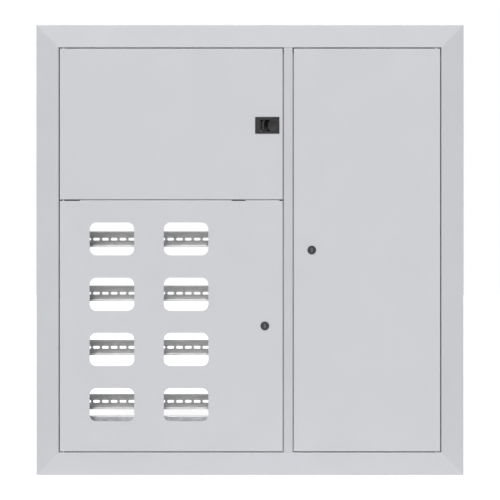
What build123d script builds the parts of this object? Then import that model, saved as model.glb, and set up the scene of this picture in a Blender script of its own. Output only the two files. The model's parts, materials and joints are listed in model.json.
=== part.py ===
from build123d import *
import math
import os

# Floor distribution board: a folded steel cabinet that is built into a wall on each storey.
# Millimetres. X to the right, Y from the front to the rear, Z up.
# The origin is the centre of the rear fixing holes, on the rear plane.

# Overall sizes
board_width = 950.0
board_height = 1000.0
board_depth = 150.0
sheet = 1.2
bend_radius = 1.6

# Surround and centre post
trim_width = 50.0
trim_slope = 2.5
trim_hem = 12.0
stop_width = 8.0
stop_setback = 17.0
wall_setback = 10.0
post_width = 20.0
right_opening = 330.0

# Rear flanges and their fixing holes
side_flange = 40.0
end_flange = 30.0
flange_gap = 0.3
fixing_inset = 22.4
fixing_end_distance = 71.2
fixing_radius = 4.5

# Doors
door_gap = 2.2
door_depth = 13.0
door_lip = 8.0
mid_gap = 1.3
mid_gap_z = 111.4

# Door hinges
hinge_inset = 8.0
hinge_setback = 5.0
pin_radius = 2.0
pin_hole_clearance = 0.03
bush_clearance = 0.08
bush_wall = 1.42
bush_length = 9.0
hinge_pad = 3.0
pin_depth = 12.0
pin_head_radius = 3.2
pin_head_height = 2.0

# Plates in the gap between the two left doors
lug_thickness = 2.0
lug_clearance = 0.45
lug_side_clearance = 1.5
lug_drop = 14.0
lug_foot = 1.5
lug_front_inset = 3.4
hinge_lug_overhang = 6.5
hinge_lug_width = 41.5
rest_lug_width = 28.0
rest_lug_inset = 100.3
end_lug_width = 6.6
end_lug_gap = 1.6

# Reading windows in the lower left door
window_width = 99.0
window_height = 73.5
window_radius = 15.0
window_pitch_x = 164.8
window_pitch_z = 122.8
window_columns = 2
window_rows = 4
window_group_inset = 200.6
window_drop = 86.8

# Cam locks
lock_setback = 40.0
lock_head_radius = 9.6
lock_head_height = 2.4
lock_head_chamfer = 0.8
barrel_radius = 7.9
barrel_clearance = 0.1
plug_radius = 5.5
plug_clearance = 0.06
plug_recess = 0.4
keyway_width = 1.8
keyway_height = 7.5
keyway_depth = 6.0
nut_width = 20.0
nut_height = 4.0
tail_width = 7.0
cam_gap = 0.5
cam_thickness = 2.5
cam_reach = 40.0
cam_width = 14.0
cam_screw_radius = 6.2
cam_screw_height = 2.4

# Slide latch of the upper left door
latch_setback = 34.4
latch_rise = 165.0
latch_width = 54.0
latch_height = 37.0
latch_plate = 1.8
latch_corner = 1.0
latch_edge_radius = 0.5
latch_bevel = 3.0
latch_bevel_drop = 1.2
latch_wall = 1.5
latch_body_width = 43.0
latch_body_height = 28.8
latch_body_shift = 3.6
latch_body_drop = 0.8
latch_body_depth = 24.0
latch_front_wall = 4.0
latch_recess = 0.5
latch_recess_radius = 40.0
latch_fit = 0.3
latch_rib = 1.0
latch_pad_length = 22.5
latch_pad_radius = 17.0
latch_pad_thickness = 11.0
latch_dish_radius = 30.0
latch_dish_depth = 2.2
slider_thickness = 3.5
slider_length = 30.0
slider_offset = 5.0
grip_offset = 4.7
grip_width = 4.5
grip_radius = 38.0
bolt_height = 12.0
bolt_clearance = 1.0
detent_thickness = 0.5
detent_width = 8.0
detent_span = 19.0
detent_end_gap = 0.1

# Buffers on the stops
buffer_radius = 3.0
buffer_inset = 3.2
buffer_gap = 0.5
buffer_end_distance = 60.0

# Slotted mounting rails
rail_height = 35.0
rail_lip = 4.0
rail_depth = 7.5
rail_sheet = 1.0
rail_bend = 1.2
slot_length = 15.5
slot_height = 6.3
slot_pitch = 20.0
rail_setback = 62.0
short_rail_length = 166.5
short_rail_gap = 2.0
rail_end_hole_radius = 2.7
rail_end_hole_inset = 5.25
rail_end_margin = 10.5

# Frame that carries the short rails
upright_width = 25.0
upright_depth = 12.0
crossbar_height = 30.0
crossbar_depth = 15.0
lower_crossbar_drop = 35.2
upper_crossbar_rise = 41.4
frame_sheet = 1.5
screw_radius = 2.6
screw_head_radius = 4.5
screw_head_height = 2.2
screw_length = 6.0

# Breaker compartment
breaker_rail_pitch = 130.0
breaker_rail_inset = 21.0
cover_setback = 28.0
cover_margin = 4.5
cover_corner = 5.0
cover_slot_height = 46.0
cover_slot_margin = 1.5
cover_slot_corner = 2.0
cover_post_radius = 5.0
cover_post_inset = 31.0
cover_hole_clearance = 0.4
cover_screw_radius = 6.0
cover_screw_height = 3.0
bar_length = 150.0
bar_height = 9.0
bar_depth = 6.0
bar_holes = 9
bar_hole_radius = 2.5
bar_setback = 52.0
bar_clearance_z = 20.0
bar_holder_width = 14.0
bar_holder_depth = 18.0
bar_spacing = 220.0

# Cross member and shelf
member_height = 30.0
member_depth = 15.0
shelf_rear_gap = 8.0
shelf_pass_width = 110.0
shelf_pass_depth = 40.0
shelf_pass_setback = 90.0

# Right compartment
plate_setback = 75.0
plate_end_gap = 30.0
plate_flange = 20.0
plate_slot_pitch_x = 80.0
plate_slot_pitch_z = 110.0
plate_slot_columns = 3
plate_slot_rows = 8
plate_slot_length = 40.0
plate_slot_height = 7.0

# Cable cut-outs in the top and bottom walls
cutout_width = 130.0
cutout_depth = 60.0
cutout_radius = 10.0
cutout_y = -42.0
edge_trim_wall = 1.4
edge_trim_lip = 2.4

# Earth studs
stud_radius = 3.0
stud_length = 16.0
stud_nut_width = 10.0
stud_nut_height = 5.0
stud_y = -40.0
stud_end_distance = 21.2

# Planes and openings that follow from the sizes
face_y = -board_depth
half_width = board_width / 2
half_height = board_height / 2
open_x = half_width - trim_width
open_z = half_height - trim_width
stop_y = face_y + stop_setback
stop_back_y = stop_y + sheet
wall_front_y = face_y + wall_setback
wall_x = open_x + sheet
wall_z = open_z + sheet
post_right = open_x - right_opening
post_left = post_right - post_width
post_x = (post_left + post_right) / 2
door_back_y = face_y + door_depth
hinge_y = face_y + hinge_setback
cam_front_y = stop_back_y + cam_gap
rail_front_y = face_y + rail_setback
rail_back_y = rail_front_y + rail_depth
cover_y = face_y + cover_setback
plate_y = face_y + plate_setback
bar_y = face_y + bar_setback
partition_left = post_x - sheet / 2
partition_right = post_x + sheet / 2
left_middle_x = (post_left - open_x) / 2
right_middle_x = (post_right + open_x) / 2

left_door_x = (-open_x + door_gap, post_left - door_gap)
right_door_x = (post_right + door_gap, open_x - door_gap)
upper_door_z = (mid_gap_z + mid_gap / 2, open_z - door_gap)
lower_door_z = (-open_z + door_gap, mid_gap_z - mid_gap / 2)
right_door_z = (-open_z + door_gap, open_z - door_gap)
left_hinge_x = left_door_x[0] + hinge_inset
right_hinge_x = right_door_x[1] - hinge_inset
member_z = (mid_gap_z - member_height / 2, mid_gap_z + member_height / 2)
shelf_z = (member_z[1], member_z[1] + sheet)
bush_bore = pin_radius + bush_clearance
bush_radius = bush_bore + bush_wall

lug_top_z = upper_door_z[0] - lug_clearance
lug_low_z = lug_top_z - lug_thickness
notch_floor_z = lug_low_z - lug_clearance

lower_lock_x = left_door_x[1] - lock_setback
lower_lock_z = sum(lower_door_z) / 2
right_lock_x = right_door_x[0] + lock_setback
right_lock_z = sum(right_door_z) / 2
latch_x = left_door_x[1] - latch_setback
latch_z = upper_door_z[0] + latch_rise

window_group_x = window_group_inset - open_x
window_top_z = mid_gap_z - window_drop
window_low_z = window_top_z - (window_rows - 1) * window_pitch_z
short_rail_pitch = short_rail_length + short_rail_gap
lower_crossbar_z = window_low_z - lower_crossbar_drop - crossbar_height
upper_crossbar_z = window_top_z + upper_crossbar_rise

breaker_rail_length = post_left + open_x - 2 * breaker_rail_inset
cover_slot_length = (breaker_rail_length - upright_width
                     - 2 * cover_post_radius - 2 * cover_slot_margin)
neutral_bar_x = left_middle_x - bar_spacing / 2
earth_bar_x = left_middle_x + bar_spacing / 2


# Shapes used by many pieces

def block(x, y, z):
    """Box between low and high values on each axis."""
    size = [high - low for low, high in (x, y, z)]
    middle = [(high + low) / 2 for low, high in (x, y, z)]
    return Pos(*middle) * Box(*size)


def rod_y(radius, x, z, y):
    """Cylinder along Y between two depths."""
    return Pos(x, sum(y) / 2, z) * Rot(90, 0, 0) * Cylinder(radius, y[1] - y[0])


def rod_z(radius, x, y, z):
    """Cylinder along Z between two heights."""
    return Pos(x, y, sum(z) / 2) * Cylinder(radius, z[1] - z[0])


def rod_x(radius, y, z, x):
    """Cylinder along X between two places."""
    return Pos(sum(x) / 2, y, z) * Rot(0, 90, 0) * Cylinder(radius, x[1] - x[0])


def round_plate(x, z, width, height, radius, y):
    """Rectangle with round corners, facing Y, between two depths."""
    outline = Pos(x, z) * RectangleRounded(width, height, radius)
    return extrude(Plane.XZ.offset(-y[1]) * outline, y[1] - y[0])


def slot_y(x, z, length, height, y):
    """Slot with round ends along X, cut along Y."""
    outline = Pos(x, z) * SlotOverall(length, height)
    return extrude(Plane.XZ.offset(-y[1]) * outline, y[1] - y[0])


def folded(path, thickness, radius):
    """Section of a folded sheet that lies on the left of its path."""
    line = FilletPolyline(*path, radius=radius)
    return make_face(offset(line, thickness, side=Side.LEFT, closed=True))


def folded_along_z(path, z, thickness=sheet, radius=bend_radius):
    """Folded sheet with an (x, y) section between two heights."""
    return Pos(0, 0, z[0]) * extrude(folded(path, thickness, radius), z[1] - z[0])


def folded_along_x(path, x, thickness=sheet, radius=bend_radius):
    """Folded sheet with a (y, z) section between two places along X."""
    return extrude(Plane.YZ.offset(x[0]) * folded(path, thickness, radius), x[1] - x[0])


def joined(shape):
    """One solid out of a cut or joined shape."""
    solids = shape.solids()
    return solids[0] if len(solids) == 1 else Compound(children=solids)


def group(shapes):
    """Separate like pieces in one node."""
    return Compound(children=[solid for shape in shapes for solid in shape.solids()])


# Surround

def trim_path(edge):
    """Stop, return, sloped face and hem, from the opening's edge outwards."""
    return [
        (edge - stop_width, stop_y),
        (edge, stop_y),
        (edge, face_y),
        (edge + trim_width, face_y + trim_slope),
        (edge + trim_width, face_y + trim_slope + trim_hem),
    ]


def mitre_wedge(half_length, half_across):
    """Prism along Y that keeps one side of the surround, for the side along +X."""
    inset = trim_width + 2 * stop_width
    outline = Polygon(
        (half_across, -half_length),
        (half_across, half_length),
        (half_across - inset, half_length - inset),
        (half_across - inset, -half_length + inset),
        align=None,
    )
    return extrude(Plane.XZ * outline, board_depth)


def make_trim_right():
    """Right side of the surround, mitred at both ends."""
    bar = folded_along_z(trim_path(open_x), (-half_height, half_height))
    return joined(bar & mitre_wedge(half_height, half_width))


def make_trim_top():
    """Top side of the surround, with the holes for two hinge pins."""
    path = [(across, edge) for edge, across in reversed(trim_path(open_z))]
    bar = folded_along_x(path, (-half_width, half_width))
    wedge = Rot(0, -90, 0) * mitre_wedge(half_width, half_height)
    bar = bar & wedge
    for hinge_x in (left_hinge_x, right_hinge_x):
        bar = bar - pin_hole(hinge_x, open_z)
    return joined(bar)


def pin_hole(x, z):
    """Hole for a hinge pin through a horizontal sheet."""
    radius = pin_radius + pin_hole_clearance
    return rod_z(radius, x, hinge_y, (z - pin_depth, z + pin_depth))


# Centre post, partition and cabinet walls

def make_post():
    path = [
        (post_left - stop_width, stop_y),
        (post_left, stop_y),
        (post_left, face_y),
        (post_right, face_y),
        (post_right, stop_y),
        (post_right + stop_width, stop_y),
    ]
    post = folded_along_z(path, (-open_z, open_z))
    reach = (post_left - 2 * stop_width, post_right + 2 * stop_width)
    for low, high in ((-open_z, -open_z + stop_width), (open_z - stop_width, open_z)):
        post = post - block(reach, (stop_y - bend_radius, stop_back_y), (low, high))
    return joined(post)


def make_partition():
    """Wall from the back of the post to the rear, with a rear flange to the right."""
    path = [
        (partition_left + end_flange, 0),
        (partition_left, 0),
        (partition_left, face_y + sheet),
    ]
    plate = folded_along_z(path, (-wall_z, wall_z))
    notch_x = (partition_left - sheet, partition_left + end_flange + sheet)
    for low, high in ((-wall_z, -open_z + stop_width), (open_z - stop_width, wall_z)):
        plate = plate - block(notch_x, (face_y, stop_back_y), (low, high))
    for low, high in ((-wall_z, -wall_z + end_flange), (wall_z - end_flange, wall_z)):
        plate = plate - block(notch_x, (-sheet, 0), (low, high + flange_gap))
    return joined(plate)


def make_side_wall():
    """Right wall with its rear flange and two fixing holes."""
    path = [
        (wall_x + sheet, wall_front_y),
        (wall_x + sheet, 0),
        (wall_x + sheet - side_flange, 0),
    ]
    wall = folded_along_z(path, (-wall_z, wall_z))
    hole_x = wall_x + sheet - fixing_inset
    for side in (-1, 1):
        hole_z = side * (wall_z - fixing_end_distance)
        wall = wall - rod_y(fixing_radius, hole_x, hole_z, (-sheet, 0))
    return joined(wall)


def make_top_wall():
    """Top wall with its rear flange and the cable cut-outs."""
    across = wall_x + sheet
    wall = block((-across, across), (wall_front_y, 0), (wall_z, wall_z + sheet))
    flange_x = across - side_flange - flange_gap
    wall = wall + block((-flange_x, flange_x), (-sheet, 0), (wall_z - end_flange, wall_z))
    for x in (left_middle_x, right_middle_x):
        wall = wall - cutout(x, cutout_width, cutout_depth, cutout_radius, wall_z)
    return joined(wall)


def cutout(x, width, depth, radius, low_z, height=sheet):
    """Prism along Z with round corners at a cable cut-out."""
    outline = Pos(x, cutout_y, low_z) * RectangleRounded(width, depth, radius)
    return extrude(outline, height)


def make_edge_trims():
    """Rubber U sections round the four cable cut-outs."""
    rings = []
    outer_grow = 2 * edge_trim_lip
    inner_shrink = 2 * edge_trim_wall
    height = sheet + 2 * edge_trim_wall
    low_z = wall_z - edge_trim_wall
    for x in (left_middle_x, right_middle_x):
        ring = cutout(x, cutout_width + outer_grow, cutout_depth + outer_grow,
                      cutout_radius + edge_trim_lip, low_z, height)
        ring = ring - cutout(x, cutout_width - inner_shrink, cutout_depth - inner_shrink,
                             cutout_radius - edge_trim_wall, low_z, height)
        groove = block((-half_width, half_width), (face_y, 0), (wall_z, wall_z + sheet))
        groove = groove - cutout(x, cutout_width, cutout_depth, cutout_radius, wall_z)
        ring = ring - groove
        rings.append(ring)
        rings.append(mirror(ring, about=Plane.XY))
    return group(rings)


def make_cross_member():
    """Channel behind the gap between the two left doors."""
    front = stop_back_y
    low, high = member_z
    path = [
        (front + member_depth, high),
        (front, high),
        (front, low),
        (front + member_depth, low),
    ]
    return joined(folded_along_x(path, (-wall_x, partition_left)))


def make_shelf():
    """Shelf between the meter and breaker compartments, with two cable passes."""
    shelf = block((-wall_x, partition_left), (stop_back_y, -shelf_rear_gap), shelf_z)
    pass_y = face_y + shelf_pass_setback
    for x in (neutral_bar_x, earth_bar_x):
        outline = Pos(x, pass_y + shelf_pass_depth / 2, shelf_z[0]) * RectangleRounded(
            shelf_pass_width, shelf_pass_depth, cutout_radius)
        shelf = shelf - extrude(outline, sheet)
    return joined(shelf)


# Hinges

def make_hinge_pins():
    """Five pins: top and bottom of the left doors with one between, top and bottom of the right."""
    pins = []
    head = wall_z + pin_head_height
    for x in (left_hinge_x, right_hinge_x):
        pin = rod_z(pin_radius, x, hinge_y, (open_z - pin_depth, wall_z))
        pin = pin + rod_z(pin_head_radius, x, hinge_y, (wall_z, head))
        pins.append(pin)
        pins.append(mirror(pin, about=Plane.XY))
    middle = (mid_gap_z - pin_depth, mid_gap_z + pin_depth)
    pins.append(rod_z(pin_radius, left_hinge_x, hinge_y, middle))
    return group(pins)


def lug_spans():
    """X spans of the three plates in the gap between the left doors, from the left."""
    hinge_start = left_hinge_x - hinge_lug_overhang
    rest_middle = post_left - rest_lug_inset
    end = post_left - end_lug_gap
    return [
        (hinge_start, hinge_start + hinge_lug_width),
        (rest_middle - rest_lug_width / 2, rest_middle + rest_lug_width / 2),
        (end - end_lug_width, end),
    ]


def gap_lug(x, seat_y):
    """Plate in the gap between the left doors, on a thinner foot clear of the door's corner."""
    plate = block(x, (face_y + lug_front_inset, seat_y), (lug_low_z, lug_top_z))
    foot = block(x, (seat_y - lug_foot, seat_y), (mid_gap_z - lug_drop, lug_top_z))
    return plate + foot


def make_hinge_lug():
    """Plate that carries the middle hinge pin in an eye open to the front."""
    lug = gap_lug(lug_spans()[0], stop_back_y)
    stop = (-open_x, -open_x + stop_width + flange_gap)
    lug = lug - block(stop, (stop_y - flange_gap, stop_back_y), member_z)
    return joined(lug - pin_hole(left_hinge_x, mid_gap_z))


def make_rest_lugs():
    """Two small plates that keep the gap between the left doors."""
    middle, end = lug_spans()[1:]
    return group([gap_lug(middle, stop_back_y), gap_lug(end, stop_y)])


def cut_lug_notches(door):
    """Notches in the top of the lower door, wide enough to swing clear of the plates."""
    hinge, rest, end = lug_spans()
    spans = [
        (left_door_x[0], hinge[1] + lug_side_clearance),
        (rest[0] - lug_side_clearance, rest[1] + lug_side_clearance),
        (end[0] - lug_side_clearance, left_door_x[1]),
    ]
    for span in spans:
        door = door - block(span, (face_y, door_back_y), (notch_floor_z, lower_door_z[1]))
    return door


def door_bush(x, z, inward):
    """Nylon bush pressed into a door flange; inward is +1 or -1 along Z."""
    span = sorted((z, z + inward * bush_length))
    bush = rod_z(bush_radius, x, hinge_y, span)
    return bush - rod_z(bush_bore, x, hinge_y, span)


def make_bushes(x, z):
    """The two bushes of one door, from its lower and upper bush seats."""
    return group([door_bush(x, z[0], 1), door_bush(x, z[1], -1)])


# Doors

def door_pan(x, z, hinge_x):
    """Pan with side flanges, inner lips, thick hinge corners and holes for the bushes."""
    pan = block(x, (face_y, door_back_y), z)
    pan = fillet(pan.faces().sort_by(Axis.Y)[0].edges(), bend_radius)
    inner_x = (x[0] + sheet, x[1] - sheet)
    inner_z = (z[0] + sheet, z[1] - sheet)
    mouth_x = (x[0] + door_lip, x[1] - door_lip)
    mouth_z = (z[0] + door_lip, z[1] - door_lip)
    pan = pan - block(inner_x, (face_y + sheet, door_back_y - sheet), inner_z)
    pan = pan - block(mouth_x, (face_y + sheet, door_back_y), mouth_z)
    half_pad = hinge_inset - sheet
    pad_x = (hinge_x - half_pad, hinge_x + half_pad)
    pad_y = (face_y + sheet, door_back_y - sheet)
    for edge, inward in ((z[0], 1), (z[1], -1)):
        pad_z = sorted((edge + inward * sheet, edge + inward * (sheet + hinge_pad)))
        pan = pan + block(pad_x, pad_y, pad_z)
        bore_z = sorted((edge, edge + inward * (sheet + hinge_pad)))
        pan = pan - rod_z(bush_radius, hinge_x, hinge_y, bore_z)
    return pan


def lock_hole(x, z):
    """Hole through a door's sheet for the barrel of a lock."""
    return rod_y(barrel_radius + barrel_clearance, x, z, (face_y, face_y + sheet))


def window_centres():
    """Centres of the reading windows, row by row from the top."""
    first_x = window_group_x - window_pitch_x * (window_columns - 1) / 2
    for row in range(window_rows):
        for column in range(window_columns):
            yield first_x + column * window_pitch_x, window_top_z - row * window_pitch_z


def make_lower_door():
    """Lower left door with its reading windows, lock hole and notches."""
    door = cut_lug_notches(door_pan(left_door_x, lower_door_z, left_hinge_x))
    for x, z in window_centres():
        door = door - round_plate(x, z, window_width, window_height, window_radius,
                                  (face_y, face_y + sheet))
    return joined(door - lock_hole(lower_lock_x, lower_lock_z))


def make_upper_door():
    """Upper left door with the opening for its slide latch."""
    door = door_pan(left_door_x, upper_door_z, left_hinge_x)
    body_x, body_z = latch_body_span()
    return joined(door - block(body_x, (face_y, face_y + sheet), body_z))


def make_right_door():
    """Tall right door with its lock hole."""
    door = door_pan(right_door_x, right_door_z, right_hinge_x)
    return joined(door - lock_hole(right_lock_x, right_lock_z))


def make_buffers():
    """Rubber buffers on the stops of the post, two for each door."""
    left_x = post_left - stop_width + buffer_inset
    right_x = post_right + stop_width - buffer_inset
    places = []
    for x, span in ((left_x, upper_door_z), (left_x, lower_door_z), (right_x, right_door_z)):
        places.append((x, span[0] + buffer_end_distance))
        places.append((x, span[1] - buffer_end_distance))
    depth = (door_back_y + buffer_gap, stop_y)
    return group([rod_y(buffer_radius, x, z, depth) for x, z in places])


# Cam locks

def make_lock_body(x, z):
    """Round head on the door's face and the barrel behind it."""
    head = rod_y(lock_head_radius, x, z, (face_y - lock_head_height, face_y))
    head = chamfer(head.faces().sort_by(Axis.Y)[0].edges(), lock_head_chamfer)
    barrel = rod_y(barrel_radius, x, z, (face_y, stop_back_y))
    bore = rod_y(plug_radius + plug_clearance, x, z,
                 (face_y - lock_head_height, stop_back_y))
    return joined(head + barrel - bore)


def make_lock_nut(x, z):
    """Hexagonal nut that clamps the lock to the door sheet."""
    flat_to_corner = nut_width / math.sqrt(3)
    outline = Pos(x, z) * RegularPolygon(flat_to_corner, 6)
    back_y = face_y + sheet + nut_height
    nut = extrude(Plane.XZ.offset(-back_y) * outline, nut_height)
    return joined(nut - rod_y(barrel_radius, x, z, (face_y + sheet, back_y)))


def make_lock_plug(x, z):
    """Turning plug with its keyway, a square tail and the screw that holds the cam."""
    front_y = face_y - lock_head_height + plug_recess
    plug = rod_y(plug_radius, x, z, (front_y, stop_back_y))
    half = tail_width / 2
    cam_back_y = cam_front_y + cam_thickness
    plug = plug + block((x - half, x + half), (stop_back_y, cam_back_y), (z - half, z + half))
    plug = plug + rod_y(cam_screw_radius, x, z, (cam_back_y, cam_back_y + cam_screw_height))
    plug = plug - block((x - keyway_width / 2, x + keyway_width / 2),
                        (front_y, front_y + keyway_depth),
                        (z - keyway_height / 2, z + keyway_height / 2))
    return joined(plug)


def make_lock_cam(x, z):
    """Flat cam with round ends that hangs down while the lock is open."""
    back_y = cam_front_y + cam_thickness
    length = cam_reach + cam_width / 2
    middle_z = z - length / 2 + cam_width / 2
    outline = Pos(x, middle_z) * Rot(0, 0, 90) * SlotOverall(length, cam_width)
    cam = extrude(Plane.XZ.offset(-back_y) * outline, cam_thickness)
    half = tail_width / 2
    hole = block((x - half, x + half), (cam_front_y, back_y), (z - half, z + half))
    return joined(cam - hole)


# Slide latch

def latch_body_span():
    """Outer X and Z spans of the latch's body behind the door sheet."""
    x = latch_x + latch_body_shift
    z = latch_z - latch_body_drop
    half_x = latch_body_width / 2
    half_z = latch_body_height / 2
    return (x - half_x, x + half_x), (z - half_z, z + half_z)


def latch_inside():
    """Inner X and Z spans of the latch's body."""
    (x0, x1), (z0, z1) = latch_body_span()
    return (x0 + latch_wall, x1 - latch_wall), (z0 + latch_wall, z1 - latch_wall)


def slider_depths():
    """Front and back of the slider's plate, behind the stop."""
    return cam_front_y, cam_front_y + slider_thickness


def latch_face():
    """Face plate of the latch, with a wide bevel on its right edge."""
    front_y = face_y - latch_plate
    plate = round_plate(latch_x, latch_z, latch_width, latch_height, latch_corner,
                        (front_y, face_y))
    plate = fillet(plate.faces().sort_by(Axis.Y)[0].edges(), latch_edge_radius)
    right = latch_x + latch_width / 2
    wedge = Polygon(
        (right, front_y + latch_bevel_drop),
        (right, front_y),
        (right - latch_bevel, front_y),
        align=None,
    )
    low_z = latch_z - latch_height / 2
    return plate - Pos(0, 0, low_z) * extrude(wedge, latch_height)


def make_latch_housing():
    """Moulded frame with a round-sided recess, a dished thumb pad and guides for the slider."""
    body_x, body_z = latch_body_span()
    in_x, in_z = latch_inside()
    front_y = face_y - latch_plate
    inner_y = front_y + latch_front_wall
    back_y = face_y + latch_body_depth
    slide_y = slider_depths()
    middle_z = sum(in_z) / 2
    housing = latch_face() + block(body_x, (face_y, back_y), body_z)
    mouth = block(in_x, (front_y, inner_y), in_z)
    mouth = mouth & rod_y(latch_recess_radius, in_x[0] + latch_recess_radius, middle_z,
                          (front_y, inner_y))
    housing = housing - mouth - block(in_x, (inner_y, back_y), in_z)
    housing = housing + latch_thumb_pad(in_x, in_z, front_y + latch_recess)
    for low, high in ((in_z[0], in_z[0] + latch_rib), (in_z[1] - latch_rib, in_z[1])):
        for rib_y in (slide_y[0] - latch_fit - latch_rib, slide_y[1] + latch_fit):
            housing = housing + block(in_x, (rib_y, rib_y + latch_rib), (low, high))
    half_bolt = bolt_height / 2 + latch_fit
    slot = block((in_x[1], body_x[1]), (slide_y[0] - latch_fit, slide_y[1] + latch_fit),
                 (middle_z - half_bolt, middle_z + half_bolt))
    return joined(housing - slot)


def latch_thumb_pad(in_x, in_z, front_y):
    """Pad with a round left edge and a shallow dish for the thumb."""
    start = in_x[1] - latch_pad_length
    depth = (front_y, front_y + latch_pad_thickness)
    middle_z = sum(in_z) / 2
    nose = rod_y(latch_pad_radius, start + latch_pad_radius, middle_z, depth)
    pad = block((start, start + latch_pad_radius), depth, in_z) & nose
    pad = pad + block((start + latch_pad_radius, in_x[1]), depth, in_z)
    dish_y = front_y - latch_dish_radius + latch_dish_depth
    return pad - Pos((start + in_x[1]) / 2, dish_y, middle_z) * Sphere(latch_dish_radius)


def make_latch_slider():
    """Plate with the bolt at its right end and a curved grip on its front."""
    in_x, in_z = latch_inside()
    slide_y = slider_depths()
    middle_z = sum(in_z) / 2
    start = in_x[0] + slider_offset
    plate_x = (start, start + slider_length)
    plate_z = (in_z[0] + latch_fit, in_z[1] - latch_fit)
    plate = block(plate_x, slide_y, plate_z)
    tip = post_left - stop_width - bolt_clearance
    half_bolt = bolt_height / 2
    bolt = block((plate_x[1], tip), slide_y, (middle_z - half_bolt, middle_z + half_bolt))
    grip_x = in_x[0] + grip_offset
    centre = grip_x + grip_radius
    grip_y = (face_y - latch_plate + latch_recess, slide_y[0])
    grip = rod_y(grip_radius, centre, middle_z, grip_y)
    grip = grip - rod_y(grip_radius, centre + grip_width, middle_z, grip_y)
    grip_z = (in_z[0] + latch_rib + latch_fit, in_z[1] - latch_rib - latch_fit)
    grip = grip & block((grip_x, plate_x[1]), grip_y, grip_z)
    return joined(plate + bolt + grip)


def make_detent_spring():
    """Bowed strip between the thumb pad and the slider's plate."""
    in_x, in_z = latch_inside()
    pad_back = face_y - latch_plate + latch_recess + latch_pad_thickness + detent_end_gap
    crown_y = slider_depths()[0] - latch_fit
    start = in_x[1] - latch_pad_length + latch_wall
    middle = start + detent_span / 2
    bow = ThreePointArc((start, pad_back), (middle, crown_y), (start + detent_span, pad_back))
    strip = make_face(offset(bow, detent_thickness, side=Side.RIGHT, closed=True))
    low_z = sum(in_z) / 2 - detent_width / 2
    return joined(Pos(0, 0, low_z) * extrude(strip, detent_width))


# Mounting rails

def rail(x, z, length):
    """Top-hat rail without its slots."""
    half = rail_height / 2
    web = half - rail_lip
    path = [
        (rail_front_y + rail_sheet, z - half),
        (rail_front_y + rail_sheet, z - web),
        (rail_back_y, z - web),
        (rail_back_y, z + web),
        (rail_front_y + rail_sheet, z + web),
        (rail_front_y + rail_sheet, z + half),
    ]
    return folded_along_x(path, (x - length / 2, x + length / 2), rail_sheet, rail_bend)


def slotted_rail(x, z, length):
    """Rail with a centred row of slots and a screw hole at each end."""
    bar = rail(x, z, length)
    web_y = (rail_back_y - rail_sheet, rail_back_y)
    free = length - 2 * rail_end_margin - slot_length
    count = int(free / slot_pitch) + 1
    for index in range(count):
        slot_x = x + (index - (count - 1) / 2) * slot_pitch
        bar = bar - slot_y(slot_x, z, slot_length, slot_height, web_y)
    for hole_x, hole_z in rail_hole_places(x, z, length):
        bar = bar - rod_y(rail_end_hole_radius, hole_x, hole_z, web_y)
    return joined(bar)


def rail_hole_places(x, z, length):
    """Centres of the screw holes at the two ends of a rail."""
    reach = length / 2 - rail_end_hole_inset
    return [(x - reach, z), (x + reach, z)]


def short_rail_centres():
    """Centres of the rails behind the windows."""
    first_x = window_group_x - short_rail_pitch * (window_columns - 1) / 2
    for row in range(window_rows):
        for column in range(window_columns):
            yield first_x + column * short_rail_pitch, window_top_z - row * window_pitch_z


def breaker_rail_levels():
    """Heights of the two long rails, about the middle of the inner cover."""
    middle = sum(cover_span()[1]) / 2
    return (middle - breaker_rail_pitch / 2, middle + breaker_rail_pitch / 2)


def screw_places():
    """Every place where a rail is screwed to an upright."""
    places = []
    for x, z in short_rail_centres():
        places.extend(rail_hole_places(x, z, short_rail_length))
    for z in breaker_rail_levels():
        places.extend(rail_hole_places(left_middle_x, z, breaker_rail_length))
    return places


def make_rail_screws():
    """Screws through the rail ends into the uprights."""
    screws = []
    seat_y = rail_back_y - rail_sheet
    for x, z in screw_places():
        screw = rod_y(screw_head_radius, x, z, (seat_y - screw_head_height, seat_y))
        screw = screw + rod_y(screw_radius, x, z, (seat_y, seat_y + screw_length))
        screws.append(screw)
    return group(screws)


# Frames that carry the rails

def upright(x, z):
    """Channel with its web against the rails and its flanges to the rear."""
    half = upright_width / 2
    path = [
        (x - half, rail_back_y + upright_depth),
        (x - half, rail_back_y),
        (x + half, rail_back_y),
        (x + half, rail_back_y + upright_depth),
    ]
    return folded_along_z(path, z, frame_sheet, bend_radius + frame_sheet - sheet)


def drill_upright(post, x):
    """Holes for the rail screws that land on one upright."""
    half = upright_width / 2
    for hole_x, hole_z in screw_places():
        if abs(hole_x - x) < half:
            post = post - rod_y(screw_radius, hole_x, hole_z,
                                (rail_back_y, rail_back_y + frame_sheet))
    return joined(post)


def make_meter_upright(x):
    """Upright in front of the two crossbars, behind the ends of the short rails."""
    span = (lower_crossbar_z, upper_crossbar_z + crossbar_height)
    return drill_upright(upright(x, span), x)


def breaker_upright_x(side):
    """Middle of the upright at one end of the long rails; side is -1 or 1."""
    return left_middle_x + side * (breaker_rail_length - upright_width) / 2


def make_breaker_upright(side):
    """Upright from the shelf to the top wall at one end of the long rails."""
    x = breaker_upright_x(side)
    return drill_upright(upright(x, (shelf_z[1], wall_z)), x)


def make_crossbar(low_z):
    """Channel from the left wall to the partition, behind the uprights."""
    front_y = rail_back_y + upright_depth
    high_z = low_z + crossbar_height
    path = [
        (front_y + crossbar_depth, high_z),
        (front_y, high_z),
        (front_y, low_z),
        (front_y + crossbar_depth, low_z),
    ]
    return joined(folded_along_x(path, (-wall_x, partition_left), frame_sheet,
                               bend_radius + frame_sheet - sheet))


# Breaker compartment

def cover_span():
    """X and Z spans of the inner cover, inside the stops."""
    x = (-open_x + stop_width + cover_margin, post_left - stop_width - cover_margin)
    z = (shelf_z[1] + cover_margin, open_z - stop_width - cover_margin)
    return x, z


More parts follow.
